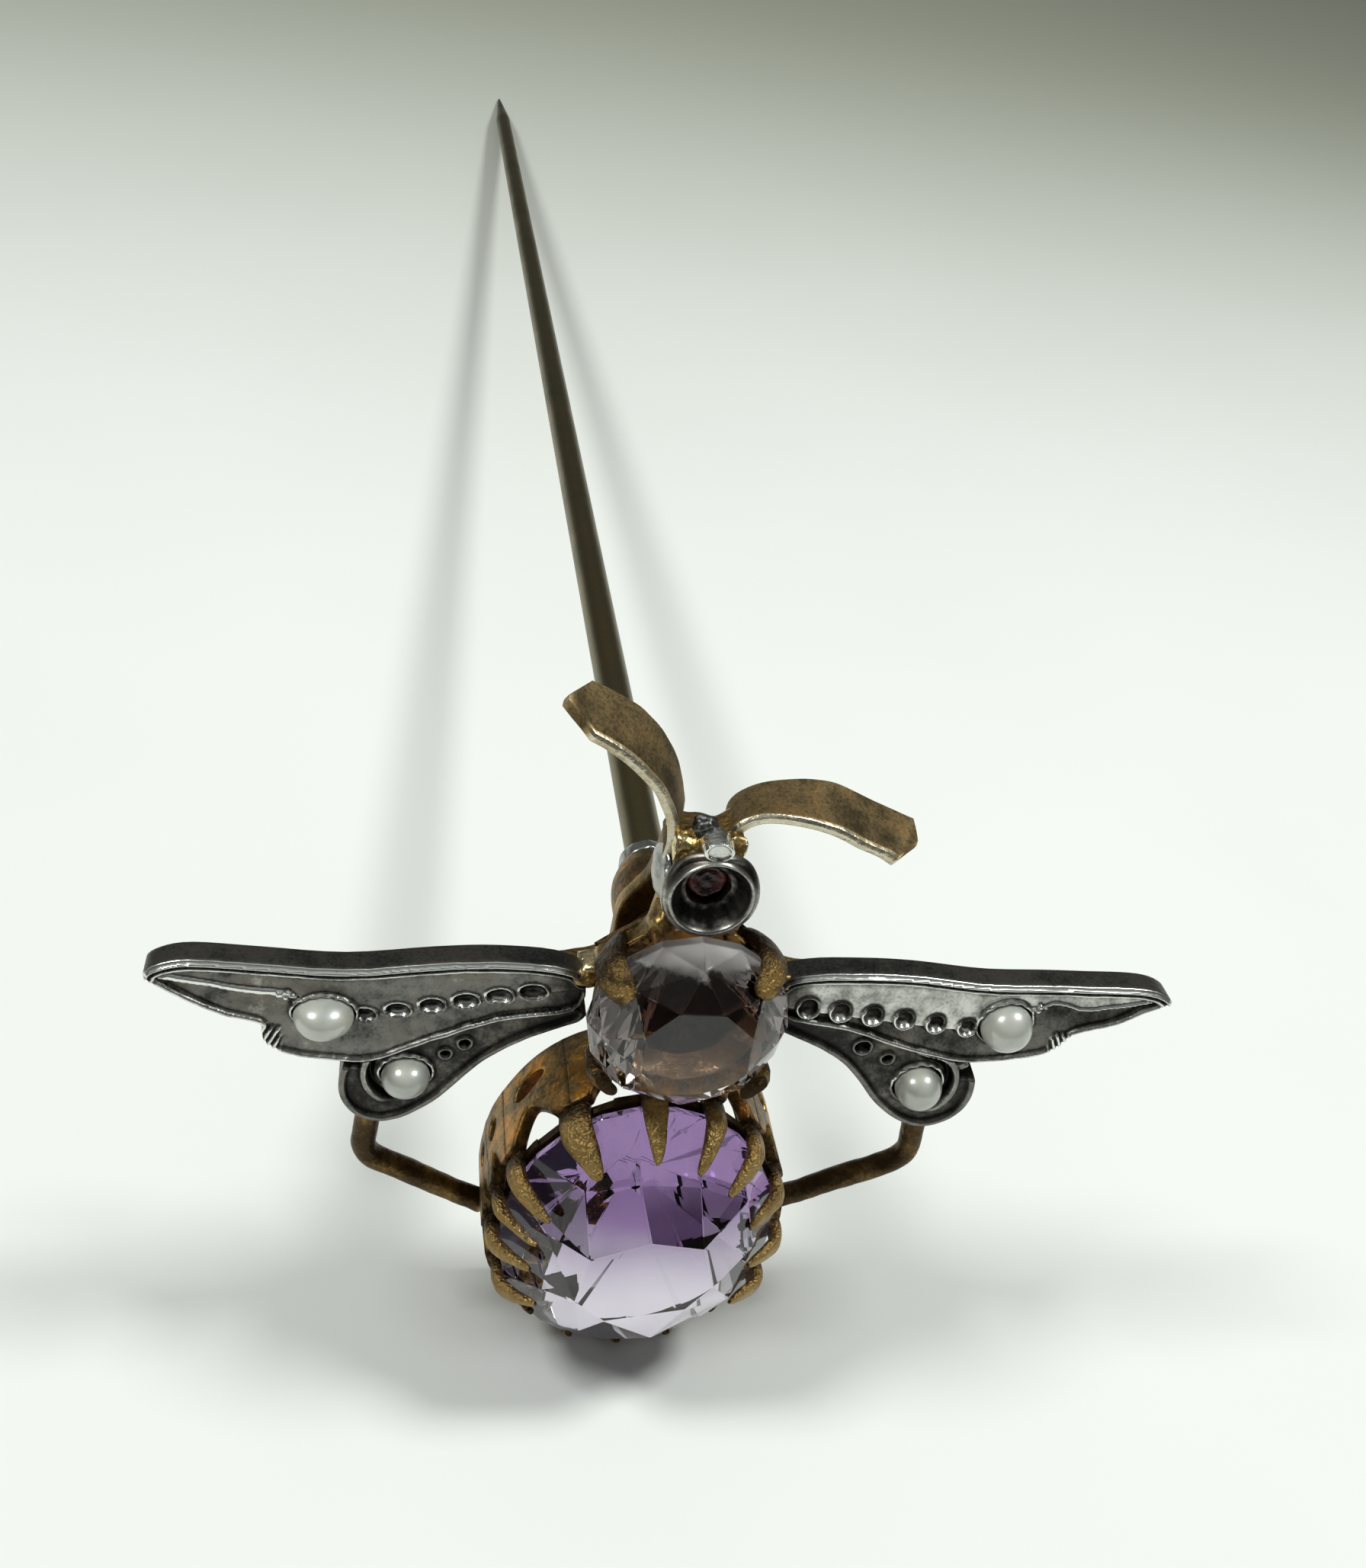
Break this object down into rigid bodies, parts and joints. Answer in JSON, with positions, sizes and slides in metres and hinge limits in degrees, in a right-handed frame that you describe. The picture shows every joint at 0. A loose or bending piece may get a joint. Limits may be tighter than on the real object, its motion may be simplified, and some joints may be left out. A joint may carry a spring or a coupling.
{
  "type": "insect hat pin",
  "caption": "Hat pin with a soldered insect ornament of oxidised silver wings, gilt settings, half pearls and cut stones on a straight wire stem.",
  "frame": {"origin": "on the stem's axis, where the stem leaves its ferrule behind the insect's thorax", "axes": "+Y along the stem towards its point, +X along the insect's wings, +Z towards its head; the ornament's face looks along -Y"},
  "size_m": [0.0312, 0.1572, 0.0246],
  "materials": {
    "stem_wire": "worn gilt over steel wire",
    "solder_silver": "bright solder and bare silver",
    "gilt": "aged gilding, brown in the hollows and bright on the edges",
    "oxidised_silver": "dark oxidised silver with worn high points",
    "pearl": "soft nacre lustre",
    "pale_quartz": "faceted, nearly colourless with a rose tint",
    "amethyst": "faceted, purple with pale zones",
    "cement": "dark red-brown shellac"
  },
  "bodies": {
    "root": {"stem": "stem_wire", "stem_ferrule": "solder_silver", "stem_collar": "gilt", "body_spine": "gilt", "thorax_collet": "gilt", "thorax_stone": "pale_quartz", "wing_stub_left": "gilt", "wing_stub_right": "gilt", "forewing_left": "oxidised_silver", "forewing_right": "oxidised_silver", "hindwing_left": "oxidised_silver", "hindwing_right": "oxidised_silver", "forewing_pearl_left": "pearl", "forewing_pearl_right": "pearl", "hindwing_pearl_left": "pearl", "hindwing_pearl_right": "pearl", "head_cup": "oxidised_silver", "head_cement": "cement", "head_peg": "solder_silver", "head_saddle": "gilt", "antenna_left": "gilt", "antenna_right": "gilt", "abdomen_gallery": "gilt", "abdomen_seat": "gilt", "abdomen_base_ring": "gilt", "abdomen_stone": "amethyst", "leg_wire_left": "gilt", "leg_wire_right": "gilt"}
  },
  "joints": []
}
